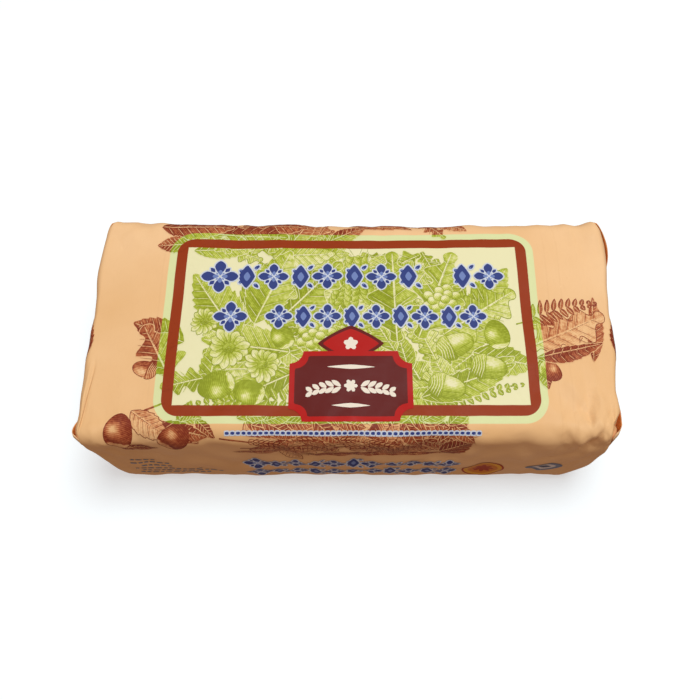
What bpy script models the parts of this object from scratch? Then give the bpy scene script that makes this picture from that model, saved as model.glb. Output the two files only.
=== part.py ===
"""A half-wheel block of soft washed-rind cheese, shut in the printed paper that it is sold in.

The pack is one closed thing: a rounded block with the paper's own forms on it. One sheet goes once
round the block and laps under it. Each end is closed with four folds: the top and bottom flaps first,
then a pointed wing from the front and from the back. The wings aren't pasted down along their upper
edges, so they stand off the end and leave open pockets below the top corners.

+X runs along the block, +Y away from the long side that faces the viewer, +Z up. The origin is on the
surface that the pack rests on, under the middle of its box. Sizes are in metres.
"""

import math

import bmesh
import bpy
from mathutils import Vector

LENGTH = 0.2056  # of the top face, at its far edge
WIDTH = 0.095
HEIGHT = 0.0505
LONG_EDGE_RADIUS = 0.0065  # the cheese is rounded along its long edges
END_EDGE_RADIUS = 0.0035  # the paper is creased more sharply across the ends

LAYER = 0.0007  # one fold of the paper with the air under it
SHEET = 0.0012  # thickness of a flap as a solid, part of it sunk in the block
LAP_FROM, LAP_TO = -0.036, 0.020  # the sheet's outer edge under the block, in Y
LAP_END_MARGIN = 0.007

FOLD_START = 0.0008  # a flap or wing leaves its own side of the block this far from its plane
FOLD_MARGIN = 0.0005  # and it keeps this far inside the rounded corners
FLAP_TOP = 0.034  # height of the bottom flap's edge on the end
FLAP_SIDE_MARGIN = 0.0024
WING_REACH = 0.0265  # how far a wing's tip comes in over the end
WING_UPPER_SLOPE = 0.78  # the fall of a wing's upper fold; its lower one rises at 45 degrees
WING_HEIGHT = 1.5 * LAYER  # it lies over both flaps
WING_SUNK, WING_RISE = 0.0003, 0.0018  # it starts this deep in the block, and is clear of it soon
WING_LOOSE_FROM = 0.25  # the lower part, from its lower edge, lies flat
WING_STANDS_OFF = {  # how far the upper edge of each wing stands off the end, and where it does so most
    ("left", "front"): (0.0006, 0.30),
    ("left", "back"): (0.0006, 0.40),
    ("right", "front"): (0.0042, 0.83),
    ("right", "back"): (0.0030, 0.44),
}

# How the soft block has settled: each is the most that a point moves.
NEAR_CORNER_PULL = {"left": 0.0025, "right": 0.0071}  # the near side is shorter than the far one
FAR_CORNER_PULL, FAR_CORNER_SPREAD = 0.0033, 0.0093  # but the far corners are rounded off
END_UNDERCUT = {"left": 0.0074, "right": 0.0149}  # the base is shorter than the top
UNDERCUT_POWER = {"left": 1.5, "right": 4.7}  # on the right the end turns in only near its foot
SIDE_SWELL = 0.0011
BACK_BOW = 0.0012  # the far side is bowed in
BACK_SAG = 0.0012  # and its upper edge has sunk between its corners
TOP_CROWN = 0.0005
CORNER_LIFT = 0.0020  # the paper stands up at the four top corners
CORNER_SPREAD = 0.0090
NEAR_CORNER_SHIFT = {  # the left one is drawn out to a point, and the right one is pushed in
    "left": Vector((-0.0003, -0.0010, 0.0)),
    "right": Vector((-0.0023, 0.0, 0.0)),
}

ALONG, ACROSS, UPWARD = 22, 12, 6  # faces of the block between its rounded edges
ROUNDING = 4  # faces in an eighth of a turn
FLAP_FACES = 14

PAPER_COLOUR = (0.83, 0.51, 0.24, 1.0)


def paper():
    """Coated wrapping paper, pale peach with a low sheen."""
    material = bpy.data.materials.new("peach_paper")
    material.use_nodes = True
    shader = material.node_tree.nodes["Principled BSDF"]
    shader.inputs["Base Color"].default_value = PAPER_COLOUR
    shader.inputs["Roughness"].default_value = 0.5
    shader.inputs["Metallic"].default_value = 0.0
    return material


def stations(half, radius, count):
    """Where the block is cut across one axis: even steps between the edges, and equal turns round them."""
    flat = half - radius
    even = [flat * (2 * i / count - 1) for i in range(count + 1)]
    turned = [flat + radius * math.tan(math.pi / 4 * i / ROUNDING) for i in range(1, ROUNDING)]
    return even + turned + [-place for place in turned]


def block():
    """The wrapped block as a cube cut into a net of faces, whose edges and corners are then rounded."""
    half = Vector((LENGTH / 2, WIDTH / 2, HEIGHT / 2))
    radii = Vector((END_EDGE_RADIUS, LONG_EDGE_RADIUS, LONG_EDGE_RADIUS))
    net = bmesh.new()
    bmesh.ops.create_cube(net, size=2)
    bmesh.ops.scale(net, vec=half, verts=net.verts)
    for axis, count in enumerate((ALONG, ACROSS, UPWARD)):
        normal = Vector((0, 0, 0))
        normal[axis] = 1
        for place in stations(half[axis], radii[axis], count):
            everything = net.verts[:] + net.edges[:] + net.faces[:]
            bmesh.ops.bisect_plane(net, geom=everything, plane_co=normal * place, plane_no=normal)
    for vertex in net.verts:
        inner = Vector(max(-h + r, min(h - r, c)) for c, h, r in zip(vertex.co, half, radii))
        outward = Vector((c - i) / r for c, i, r in zip(vertex.co, inner, radii)).normalized()
        vertex.co = inner + Vector(o * r for o, r in zip(outward, radii))
        vertex.co.z += HEIGHT / 2
    return as_object("block", net)


def as_object(name, net):
    mesh = bpy.data.meshes.new(name)
    net.to_mesh(mesh)
    net.free()
    return bpy.data.objects.new(name, mesh)


def end_reach(y, z):
    """How far the block's rounded end reaches in X at this place on it."""
    across = max(0.0, abs(y) - (WIDTH / 2 - LONG_EDGE_RADIUS)) / LONG_EDGE_RADIUS
    up = max(0.0, abs(z - HEIGHT / 2) - (HEIGHT / 2 - LONG_EDGE_RADIUS)) / LONG_EDGE_RADIUS
    rest = max(0.0, 1 - across**2 - up**2)
    return LENGTH / 2 - END_EDGE_RADIUS * (1 - math.sqrt(rest))


def corner_inset(inset):
    """How far a fold keeps from one plane of the block, at this inset from the next one round a long edge."""
    into_corner = max(0.0, LONG_EDGE_RADIUS - inset)
    return FOLD_MARGIN + LONG_EDGE_RADIUS - math.sqrt(LONG_EDGE_RADIUS**2 - into_corner**2)


def folded_sheet(name, end, place, lift):
    """A flap that lies on one end. place(s, t) gives Y and Z, and lift(s, t) its height over the end."""
    sign = -1 if end == "left" else 1
    net = bmesh.new()
    bmesh.ops.create_grid(net, x_segments=FLAP_FACES, y_segments=FLAP_FACES, size=1)
    for vertex in net.verts:
        s, t = (vertex.co.x + 1) / 2, vertex.co.y
        y, z = place(s, t)
        vertex.co = Vector((sign * (end_reach(y, z) + lift(s, t)), y, z))
    bmesh.ops.recalc_face_normals(net, faces=net.faces)
    if sum(face.normal.x for face in net.faces) * sign < 0:
        bmesh.ops.reverse_faces(net, faces=net.faces)
    flap = as_object(name, net)
    thick = flap.modifiers.new("paper", "SOLIDIFY")
    thick.thickness = SHEET
    thick.offset = -1
    return flap


def bottom_flap(end):
    """The flap that is folded up over the end, and lies on the top flap's edge. The wings cover its sides."""

    def place(s, t):
        z = FOLD_START + s * (FLAP_TOP - FOLD_START)
        return t * (WIDTH / 2 - max(FLAP_SIDE_MARGIN, corner_inset(z))), z

    return folded_sheet(f"{end}_bottom_flap", end, place, lambda s, t: LAYER)


def wing(end, side):
    """The pointed fold from one long side. Its upper edge stands off the end, furthest in the middle."""
    inward = 1 if side == "front" else -1

    def place(s, t):
        inset = FOLD_START + s * WING_REACH
        lower = max(inset, corner_inset(inset))
        upper = HEIGHT - max(WING_UPPER_SLOPE * inset, corner_inset(inset))
        return -inward * (WIDTH / 2 - inset), lower + (upper - lower) * (1 + t) / 2

    stands_off, most_at = WING_STANDS_OFF[end, side]

    def lift(s, t):
        flat = (WING_HEIGHT + WING_SUNK) * min(1, s * WING_REACH / WING_RISE) - WING_SUNK
        up = (1 + t) / 2
        loose = max(0.0, up - WING_LOOSE_FROM) / (1 - WING_LOOSE_FROM)
        share = max(0.0, min(s / most_at, (1 - s) / (1 - most_at)))
        return flat + stands_off * math.sin(math.pi / 2 * share) ** 1.5 * loose**2

    return folded_sheet(f"{end}_{side}_wing", end, place, lift)


def lap():
    """The outer edge of the sheet where it laps under the block. The pack rests on it."""
    net = bmesh.new()
    bmesh.ops.create_cube(net, size=1)
    bmesh.ops.scale(
        net, vec=(LENGTH - 2 * LAP_END_MARGIN, LAP_TO - LAP_FROM, 2 * LAYER + SHEET), verts=net.verts
    )
    bmesh.ops.translate(net, vec=(0, (LAP_FROM + LAP_TO) / 2, SHEET / 2), verts=net.verts)
    return as_object("lap", net)


def settle(point):
    """Moves a point of the neat block to where the soft, hand-folded one has it."""
    x, y, z = point
    end = "left" if x < 0 else "right"
    along, across, up = x / (LENGTH / 2), y / (WIDTH / 2), min(1.0, max(0.0, z / HEIGHT))
    mid, far = max(0.0, 1 - along**2), max(0.0, across)
    pull = NEAR_CORNER_PULL[end] * (1 - across) / 2
    pull += FAR_CORNER_PULL * math.exp(-(((WIDTH / 2 - y) / FAR_CORNER_SPREAD) ** 2))
    pull += END_UNDERCUT[end] * (1 - up) ** UNDERCUT_POWER[end]
    x -= math.copysign(along**4 * pull, x)
    y += math.copysign(SIDE_SWELL, y) * abs(across) * mid * 4 * up * (1 - up)
    y -= BACK_BOW * mid * far * up
    z -= BACK_SAG * mid * far**2 * up**2
    z += TOP_CROWN * mid * max(0.0, 1 - across**2) * up**4
    off_corner = math.hypot(LENGTH / 2 - abs(point.x), WIDTH / 2 - abs(point.y))
    at_corner = math.exp(-((off_corner / CORNER_SPREAD) ** 2))
    moved = Vector((x, y, z + CORNER_LIFT * at_corner * up**6))
    if point.y < 0:
        moved += NEAR_CORNER_SHIFT[end] * at_corner * up**2
    return moved


def centred(mesh):
    """Puts the origin under the middle of the mesh's box, on the surface that it rests on."""
    low = [min(vertex.co[axis] for vertex in mesh.vertices) for axis in range(3)]
    high = [max(vertex.co[axis] for vertex in mesh.vertices) for axis in range(3)]
    middle = Vector(((low[0] + high[0]) / 2, (low[1] + high[1]) / 2, low[2]))
    for vertex in mesh.vertices:
        vertex.co -= middle


def build():
    for old in list(bpy.data.objects):
        bpy.data.objects.remove(old)
    shown = bpy.data.collections.new("wrapped_cheese")
    folds = bpy.data.collections.new("folds")
    for collection in (shown, folds):
        bpy.context.scene.collection.children.link(collection)

    pack = block()
    shown.objects.link(pack)
    for end in ("left", "right"):
        folds.objects.link(bottom_flap(end))
        for side in ("front", "back"):
            folds.objects.link(wing(end, side))
    folds.objects.link(lap())

    join = pack.modifiers.new("fold_the_paper", "BOOLEAN")
    join.operation = "UNION"
    join.operand_type = "COLLECTION"
    join.collection = folds
    join.solver = "EXACT"
    bpy.context.view_layer.update()
    joined = bpy.data.meshes.new_from_object(pack.evaluated_get(bpy.context.evaluated_depsgraph_get()))
    pack.modifiers.clear()
    pack.data = joined
    for fold in list(folds.objects):
        bpy.data.objects.remove(fold)
    bpy.data.collections.remove(folds)

    for vertex in joined.vertices:
        vertex.co = settle(vertex.co)
    centred(joined)
    pack.name = "wrapped_block"
    joined.materials.clear()
    joined.materials.append(paper())
    joined.shade_smooth()
    joined.set_sharp_from_angle(angle=math.radians(35))


build()
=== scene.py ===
"""A half-wheel block of soft washed-rind cheese, shut in its printed paper.

The file follows the pack as it is put together: the sheet round the block, the folds that close its
ends, the lap under it, then what is printed on the paper. The cheese itself isn't seen. Sizes are in
millimetres, in the pack's own frame (+X along the block, +Y away from the viewer, +Z up), and become
metres where a mesh is made. The print is laid out on the flat sheet: s runs along the block, and t round
it, from the middle of its top towards the far side.
"""

import math
import random
import bmesh
import bpy
import numpy as np
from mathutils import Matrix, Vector
from mathutils.geometry import delaunay_2d_cdt


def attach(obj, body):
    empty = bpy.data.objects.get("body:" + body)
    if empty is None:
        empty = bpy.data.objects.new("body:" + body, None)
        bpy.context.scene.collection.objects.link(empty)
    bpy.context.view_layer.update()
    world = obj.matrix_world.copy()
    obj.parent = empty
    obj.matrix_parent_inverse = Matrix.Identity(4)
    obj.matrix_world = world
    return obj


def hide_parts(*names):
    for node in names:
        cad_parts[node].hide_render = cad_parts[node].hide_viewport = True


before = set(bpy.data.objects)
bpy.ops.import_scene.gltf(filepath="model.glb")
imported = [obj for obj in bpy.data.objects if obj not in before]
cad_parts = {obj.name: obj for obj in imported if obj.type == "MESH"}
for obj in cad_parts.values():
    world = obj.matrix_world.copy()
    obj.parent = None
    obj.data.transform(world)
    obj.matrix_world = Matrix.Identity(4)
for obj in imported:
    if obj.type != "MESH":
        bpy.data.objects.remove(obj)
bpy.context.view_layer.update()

# The camera stands over the near side and looks steeply down, so that the top fills most of the view
# and the long front is a narrow strip below it.
CAMERA_AIM = Vector((-2.844, -12.541, 51.2))
CAMERA_DISTANCE = 269.1
CAMERA_PITCH = math.radians(64.5)
CAMERA_LENS = 37.1

camera_data = bpy.data.cameras.new("camera")
camera_data.lens = CAMERA_LENS
camera_data.sensor_width = 36
camera_data.clip_start = 0.01
camera = bpy.data.objects.new("camera", camera_data)
back = Vector((0, -math.cos(CAMERA_PITCH), math.sin(CAMERA_PITCH)))
camera.location = (CAMERA_AIM + CAMERA_DISTANCE * back) / 1000
camera.rotation_euler = (math.pi / 2 - CAMERA_PITCH, 0, 0)
bpy.context.collection.objects.link(camera)
bpy.context.scene.camera = camera

# A large soft light hangs overhead, and the room fills the sides only weakly and warmly. Round it all is
# plain near-white. The floor glows, and more so where the lamp lights it less, so that the shadow on it is
# pale and it runs on into the near-white without a seam.
KEY_PLACE = Vector((0.16, 0.10, 1.15))
KEY_SIZE = 0.62
KEY_POWER = 10.5
KEY_COLOUR = (0.90, 0.97, 1.0)
FILL_COLOUR = (1.0, 0.72, 0.60, 1.0)
FILL_STRENGTH = 0.33
BACKDROP_COLOUR = (0.84, 0.84, 0.84, 1.0)
FLOOR_COLOUR = (0.56, 0.60, 0.61, 1.0)
FLOOR_GLOW_NEAR, FLOOR_GLOW_FAR = (0.46, 0.49, 0.51, 1.0), (0.655, 0.697, 0.719, 1.0)
FLOOR_SIZE = 6.0

key_data = bpy.data.lights.new("key", "AREA")
key_data.shape = "DISK"
key_data.size = KEY_SIZE
key_data.energy = KEY_POWER
key_data.color = KEY_COLOUR
key = bpy.data.objects.new("key", key_data)
key.location = KEY_PLACE
key.rotation_euler = (-KEY_PLACE).to_track_quat("-Z", "Y").to_euler()
bpy.context.collection.objects.link(key)


class Value:
    """A number in a shader. Arithmetic on it adds Math nodes to its tree."""

    def __init__(self, socket):
        self.socket = socket

    def math(self, operation, *others, clamp=False):
        node = self.socket.id_data.nodes.new("ShaderNodeMath")
        node.operation, node.use_clamp = operation, clamp
        for term, slot in zip((self, *others), node.inputs):
            feed(term, slot)
        return Value(node.outputs[0])

    def __add__(self, other):
        return self.math("ADD", other)

    def __sub__(self, other):
        return self.math("SUBTRACT", other)

    def __mul__(self, other):
        return self.math("MULTIPLY", other)

    def __truediv__(self, other):
        return self.math("DIVIDE", other)

    def __rsub__(self, other):
        return self * -1 + other

    def __rtruediv__(self, other):
        return self.math("POWER", -1) * other

    def __abs__(self):
        return self.math("ABSOLUTE")

    __radd__, __rmul__ = __add__, __mul__

    def above(self, low, soft=0.1):
        """1 where this is more than low, 0 where it is less, and soft between."""
        return ((self - low) / soft + 0.5).math("MULTIPLY", 1, clamp=True)

    def below(self, high, soft=0.1):
        return ((high - self) / soft + 0.5).math("MULTIPLY", 1, clamp=True)

    def most(self, other):
        return self.math("MAXIMUM", other)

    def least(self, other):
        return self.math("MINIMUM", other)


def feed(term, slot):
    """Links a Value to a node's socket, or sets the socket to a number or a colour."""
    if isinstance(term, Value):
        slot.id_data.links.new(term.socket, slot)
    else:
        slot.default_value = term


class Nodes:
    """The nodes of a material or of the room. add puts one in: its settings first, then its sockets."""

    def __init__(self, owner):
        owner.use_nodes = True
        self.tree = owner.node_tree

    def add(self, kind, settings=None, inputs=None, output=0):
        node = self.tree.nodes.new("ShaderNode" + kind)
        for name, value in (settings or {}).items():
            setattr(node, name, value)
        for name, term in (inputs or {}).items():
            feed(term, node.inputs[name])
        return Value(node.outputs[output])


class Shader(Nodes):
    """A Principled material."""

    def __init__(self, name, **constants):
        self.material = bpy.data.materials.new(name)
        super().__init__(self.material)
        self.surface = self.tree.nodes["Principled BSDF"]
        for socket, value in constants.items():
            self.surface.inputs[socket.replace("_", " ")].default_value = value

    def mix(self, share, first, second):
        """The first colour where share is 0, the second where it is 1. Its sockets go by number, because
        their names repeat."""
        return self.add("Mix", {"data_type": "RGBA"}, {0: share, 6: first, 7: second}, output=2)

    def place(self):
        """Where a point lies in its object, in metres."""
        return self.add("TexCoord", output=3)

    def x_and_y(self, vector):
        parts = self.add("SeparateXYZ", None, {0: vector}).socket.node
        return Value(parts.outputs[0]), Value(parts.outputs[1])

    def map(self, name):
        """A UV map's two coordinates."""
        return self.x_and_y(self.add("UVMap", {"uv_map": name}))

    def noise(self, scale, detail=2.0, stretch=(1, 1, 1)):
        """Even noise over the pack, about 0.5 in its middle. scale is in waves per metre."""
        stretched = self.add("Mapping", None, {0: self.place(), 3: stretch})
        return self.add("TexNoise", None, {"Vector": stretched, "Scale": scale, "Detail": detail})


world = bpy.data.worlds.new("room")
room = Nodes(world)
fill = room.add("Background", None, {"Color": FILL_COLOUR, "Strength": FILL_STRENGTH})
backdrop = room.add("Background", None, {"Color": BACKDROP_COLOUR})
either = room.add("MixShader", None, {0: room.add("LightPath"), 1: fill, 2: backdrop})
feed(either, room.tree.nodes["World Output"].inputs["Surface"])
bpy.context.scene.world = world
bpy.context.scene.view_settings.view_transform = "Standard"

bpy.ops.mesh.primitive_plane_add(size=FLOOR_SIZE)
floor = bpy.context.object
floor.name = "floor"
floor.visible_diffuse = floor.visible_glossy = False  # its glow doesn't light the pack
floor_paint = Shader("floor", Base_Color=FLOOR_COLOUR, Roughness=0.9, Emission_Strength=1.0)
floor_x, floor_y = floor_paint.x_and_y(floor_paint.place())
off_x, off_y = floor_x - KEY_PLACE.x, floor_y - KEY_PLACE.y
lit = KEY_PLACE.z**2 / (off_x * off_x + off_y * off_y + KEY_PLACE.z**2)
floor_glow = floor_paint.mix(lit * lit, FLOOR_GLOW_FAR, FLOOR_GLOW_NEAR)
feed(floor_glow, floor_paint.surface.inputs["Emission Color"])
floor.data.materials.append(floor_paint.material)

# One printed sheet goes once round the block. The soft cheese has rounded the long edges and settled, so
# that the base is shorter than the top, the far side is bowed in and the top corners stand up a little.
# The sheet is creased across the ends and goes down them as the top flap, which the other folds cover.
LENGTH, WIDTH, HEIGHT = 205.6, 95.0, 50.5
LONG_EDGE_RADIUS, END_EDGE_RADIUS = 6.5, 3.5

NEAR_CORNER_PULL = {"left": 2.5, "right": 7.1}
FAR_CORNER_PULL, FAR_CORNER_SPREAD = 3.3, 9.3
END_UNDERCUT = {"left": 7.4, "right": 14.9}
UNDERCUT_POWER = {"left": 1.5, "right": 4.7}
SIDE_SWELL = 1.1
BACK_BOW, BACK_SAG = 1.2, 1.2
TOP_CROWN = 0.5
CORNER_LIFT, CORNER_SPREAD = 2.0, 9.0
NEAR_CORNER_SHIFT = {"left": (-0.3, -1.0, 0.0), "right": (-2.3, 0.0, 0.0)}
BOX_MIDDLE = np.array((1.144, -0.259, -0.7))  # of the settled pack, which is then put over the origin

TOP_HALF = WIDTH / 2 - LONG_EDGE_RADIUS  # the flat part of the top, from its middle
SIDE_FLAT = HEIGHT - 2 * LONG_EDGE_RADIUS
EDGE_ARC = LONG_EDGE_RADIUS * math.pi / 2
GIRTH_HALF = 2 * (TOP_HALF + EDGE_ARC) + SIDE_FLAT
TUBE_HALF = LENGTH / 2 - END_EDGE_RADIUS
END_ARC = 8.0  # length of paper round the end's edge
END_DOWN = SIDE_FLAT / 2  # and from there to the middle of the end

FINEST_STEP, LOW_STEP, FINE_STEP, COARSE_STEP = 0.55, 0.9, 1.2, 2.6
CORNER_FROM = 74.0  # s from which the net is finest
EDGE_FROM, EDGE_TO = TOP_HALF - 14, TOP_HALF + EDGE_ARC + 4  # and t between which it is
SHEET_SQUARE = (-140, -140), (140, 140)  # corners of a square that the whole sheet lies in


def settle(x, y, z):
    """Where the soft, hand-folded pack has the points of the neat block. The CAD model does the same."""

    def at(values):
        return np.where(x < 0, values["left"], values["right"])

    along, across, up = x / (LENGTH / 2), y / (WIDTH / 2), np.clip(z / HEIGHT, 0, 1)
    mid, far = np.maximum(0, 1 - along**2), np.maximum(0, across)
    pull = at(NEAR_CORNER_PULL) * (1 - across) / 2
    pull += FAR_CORNER_PULL * np.exp(-(((WIDTH / 2 - y) / FAR_CORNER_SPREAD) ** 2))
    pull += at(END_UNDERCUT) * (1 - up) ** at(UNDERCUT_POWER)
    new_x = x - np.sign(x) * along**4 * pull
    new_y = y + np.sign(y) * SIDE_SWELL * np.abs(across) * mid * 4 * up * (1 - up)
    new_y -= BACK_BOW * mid * far * up
    off_corner = np.hypot(LENGTH / 2 - np.abs(x), WIDTH / 2 - np.abs(y))
    at_corner = np.exp(-((off_corner / CORNER_SPREAD) ** 2))
    new_z = z - BACK_SAG * mid * far**2 * up**2 + CORNER_LIFT * at_corner * up**6
    new_z += TOP_CROWN * mid * np.maximum(0, 1 - across**2) * up**4
    moved = np.stack((new_x, new_y, new_z), axis=-1)
    for end, side_of in (("left", x < 0), ("right", x > 0)):
        moved += (at_corner * up**2 * side_of * (y < 0))[..., None] * np.array(NEAR_CORNER_SHIFT[end])
    return moved - BOX_MIDDLE


def round_the_block(s, t):
    """The neat block's surface under a point of the flat sheet."""
    u, side = np.abs(t), np.sign(t)
    arc_top = np.clip(u - TOP_HALF, 0, EDGE_ARC) / LONG_EDGE_RADIUS
    arc_base = np.clip(u - TOP_HALF - EDGE_ARC - SIDE_FLAT, 0, EDGE_ARC) / LONG_EDGE_RADIUS
    down = np.clip(u - TOP_HALF - EDGE_ARC, 0, SIDE_FLAT)
    under = np.maximum(0, u - TOP_HALF - 2 * EDGE_ARC - SIDE_FLAT)
    inner_y = np.minimum(u, TOP_HALF) - under
    inner_z = HEIGHT - LONG_EDGE_RADIUS - down
    turn = arc_top + arc_base
    past = np.abs(s) - TUBE_HALF
    tilt = np.clip(past / END_ARC, 0, 1) * math.pi / 2
    inset = np.maximum(0, past - END_ARC)
    inner_y = np.minimum(inner_y, TOP_HALF - inset)
    inner_z = np.clip(inner_z, LONG_EDGE_RADIUS + inset, HEIGHT - LONG_EDGE_RADIUS - inset)
    reach = LONG_EDGE_RADIUS * np.cos(tilt)
    x = np.sign(s) * (np.minimum(np.abs(s), TUBE_HALF) + END_EDGE_RADIUS * np.sin(tilt))
    return x, side * (inner_y + reach * np.sin(turn)), inner_z + reach * np.cos(turn)


# The creases that handling left in the paper: from, to, height and half-width.
CREASES = [
    ((82, -37), (92, -50), 0.75, 2.6),
    ((85, -54), (96, -43), -0.6, 2.4),
    ((89, -31), (86, -52), -0.5, 2.0),
    ((91, -28), (99, -47), 0.6, 2.6),
    ((95, -46), (89, -60), 0.7, 2.4),
    ((98, -40), (104, -56), -0.6, 2.2),
    ((77, -45), (88, -56), -0.5, 2.6),
    ((99, -50), (84, -74), 0.6, 3.0),
    ((92, -58), (72, -66), -0.45, 2.6),
    ((86, -52), (90, -86), -0.35, 3.0),
    ((79, -25), (90, -37), 0.3, 3.2),
    ((75.5, -52), (76.5, 46), 0.07, 0.9),
    ((81, -52), (81.6, 40), -0.07, 0.9),
    ((94, 20), (93, -32), -0.30, 3.6),
    ((-76, 42), (-75, -8), 0.06, 0.9),
    ((-88, 30), (-70, 31), 0.06, 0.9),
    ((-90, 12), (-72, 10.5), -0.06, 0.9),
    ((-97.4, -16), (-99.8, -46), -1.0, 0.9),
    ((-98.8, -18), (-101.0, -46), 0.8, 1.2),
    ((-97, -42), (-84, -62), 0.5, 3.0),
    ((-92, -46), (-70, -58), -0.4, 3.0),
    ((-98, -50), (-92, -90), -0.4, 3.0),
    ((-95, 36), (-86, 44), 0.35, 3.5),
    ((92, 30), (86, 45), 0.3, 3.5),
    ((96, 22), (90, 38), -0.3, 3.0),
    ((-66, -46), (-60, -60), 0.5, 4.0),
    ((-55, -45), (-51, -62), -0.5, 4.0),
    ((-30, -46), (-26, -60), -0.45, 4.0),
    ((-12, -48), (-16, -66), 0.4, 4.0),
    ((8, -45), (11, -58), 0.35, 4.0),
    ((27, -46), (24, -64), -0.45, 4.0),
    ((46, -46), (43, -62), 0.4, 4.0),
    ((60, -45), (66, -60), -0.45, 4.0),
    ((-80, -62), (-30, -72), -0.3, 6.0),
    ((-20, -66), (60, -64), 0.3, 6.0),
    ((10, -76), (80, -88), -0.3, 6.0),
    ((-50, 47), (-47, 62), -0.35, 5.0),
    ((-5, 47), (-9, 66), 0.3, 6.0),
    ((70, 48), (80, 86), 0.4, 4.0),
    ((-72, 48), (-90, 84), 0.4, 4.0),
]
SWELLS = 9  # long, low waves in the paper
SWELL_HEIGHT, SWELL_LENGTHS = 0.11, (24, 70)
BUCKLE_HEIGHT, BUCKLE_LENGTH, BUCKLE_REACH = 0.10, 13.0, 9.0  # short ones at the creased ends
FACETS = 6  # directions in which crumpling has folded the paper to and fro
FACET_HEIGHT, FACET_WIDTHS = 0.22, (7, 17)
CRUMPLED_ALL_OVER = 0.12  # how strongly everywhere
CRUMPLED = [  # and where more so: the middle, the reach in s and in t, and how strongly
    ((92, -45), (15, 13), 2.1),
    ((-93, -50), (15, 12), 1.2),
    ((0, -66), (100, 22), 0.9),
    ((0, 66), (100, 22), 0.9),
    ((86, -30), (16, 20), 0.6),
    ((95, 44), (12, 9), 0.8),
    ((-95, 44), (12, 9), 0.7),
]
FLAT_BELOW = 40.0  # how far from the middle of the underside the relief begins to fade
PRESSED = 0.85  # the share of the relief that the end folds press flat, where they cover the sheet
PRESSED_OVER, PRESSED_AT_EDGE = 6.0, 8.0  # over which that sets in: down the end, and in from its sides

chance = random.Random(11)
swells = [
    (chance.uniform(*SWELL_LENGTHS), chance.uniform(0, math.pi), chance.uniform(0, 2 * math.pi))
    for _ in range(SWELLS)
]
facets = [
    (chance.uniform(*FACET_WIDTHS), math.pi * (k + chance.random()) / FACETS, chance.random())
    for k in range(FACETS)
]


def relief(s, t):
    """How far the paper stands off the neat surface."""
    height = np.zeros(np.broadcast(s, t).shape)
    for length, turn, phase in swells:
        across = s * math.cos(turn) + t * math.sin(turn)
        height += SWELL_HEIGHT * np.sin(across * 2 * math.pi / length + phase)
    at_end = np.exp(-((np.abs(np.abs(s) - TUBE_HALF) / BUCKLE_REACH) ** 2))
    height += BUCKLE_HEIGHT * at_end * np.sin(t * 2 * math.pi / BUCKLE_LENGTH + np.sin(t / 9) + s / 40)
    crumpled = CRUMPLED_ALL_OVER
    for (s0, t0), (reach_s, reach_t), strength in CRUMPLED:
        crumpled = crumpled + strength * np.exp(-(((s - s0) / reach_s) ** 2) - ((t - t0) / reach_t) ** 2)
    for length, turn, phase in facets:
        across = (s * math.cos(turn) + t * math.sin(turn) + 2 * np.sin(0.11 * s - 0.09 * t)) / length + phase
        height += FACET_HEIGHT * crumpled * (4 * np.abs(across % 1 - 0.5) - 1)
    for (s0, t0), (s1, t1), high, half in CREASES:
        run_s, run_t = s1 - s0, t1 - t0
        part = np.clip(((s - s0) * run_s + (t - t0) * run_t) / (run_s**2 + run_t**2), 0, 1)
        off = np.hypot(np.hypot(s - s0 - part * run_s, t - t0 - part * run_t), 0.5)
        height += high * np.maximum(0, 1 - off / half) * (4 * part * (1 - part)) ** 0.4
    folds_from = TUBE_HALF + END_ARC * np.clip((TOP_HALF + EDGE_ARC - np.abs(t)) / PRESSED_AT_EDGE, 0, 1)
    under_folds = np.clip((np.abs(s) - folds_from) / PRESSED_OVER, 0, 1)
    return height * np.clip((GIRTH_HALF - np.abs(t)) / FLAT_BELOW, 0, 1) * (1 - PRESSED * under_folds)


class Sheet:
    """A stretch of folded paper: where each point of a flat net lies, and which way it faces there."""

    def __init__(self, along, across, place, stand_off=None):
        self.along, self.across = np.asarray(along, float), np.asarray(across, float)
        s, t = np.meshgrid(self.along, self.across, indexing="ij")
        self.points = place(s, t)
        self.find_normals()
        if stand_off is not None:
            self.points = self.points + self.normals * stand_off(s, t)[..., None]
            self.find_normals()

    def find_normals(self):
        cross = np.cross(np.gradient(self.points, axis=0), np.gradient(self.points, axis=1))
        self.normals = cross / np.maximum(1e-9, np.linalg.norm(cross, axis=-1, keepdims=True))

    def at(self, s, t, lift):
        """The folded places of flat points, lifted off the paper."""
        i = np.clip(np.searchsorted(self.along, s) - 1, 0, len(self.along) - 2)
        j = np.clip(np.searchsorted(self.across, t) - 1, 0, len(self.across) - 2)
        p = ((s - self.along[i]) / (self.along[i + 1] - self.along[i]))[:, None]
        q = ((t - self.across[j]) / (self.across[j + 1] - self.across[j]))[:, None]
        grid = self.points + self.normals * lift
        near = grid[i, j] * (1 - p) + grid[i + 1, j] * p
        far = grid[i, j + 1] * (1 - p) + grid[i + 1, j + 1] * p
        return near * (1 - q) + far * q

    def mesh(self, name):
        """The net as a mesh. Its map is the flat sheet's own plan, in metres."""
        rows, columns = self.points.shape[:2]
        index = np.arange(rows * columns).reshape(rows, columns)
        faces = np.stack((index[:-1, :-1], index[1:, :-1], index[1:, 1:], index[:-1, 1:]), axis=-1)
        plan = np.stack(np.meshgrid(self.along, self.across, indexing="ij"), axis=-1)
        return mesh_of(name, self.points.reshape(-1, 3), faces.reshape(-1, 4), plan.reshape(-1, 2))


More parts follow.
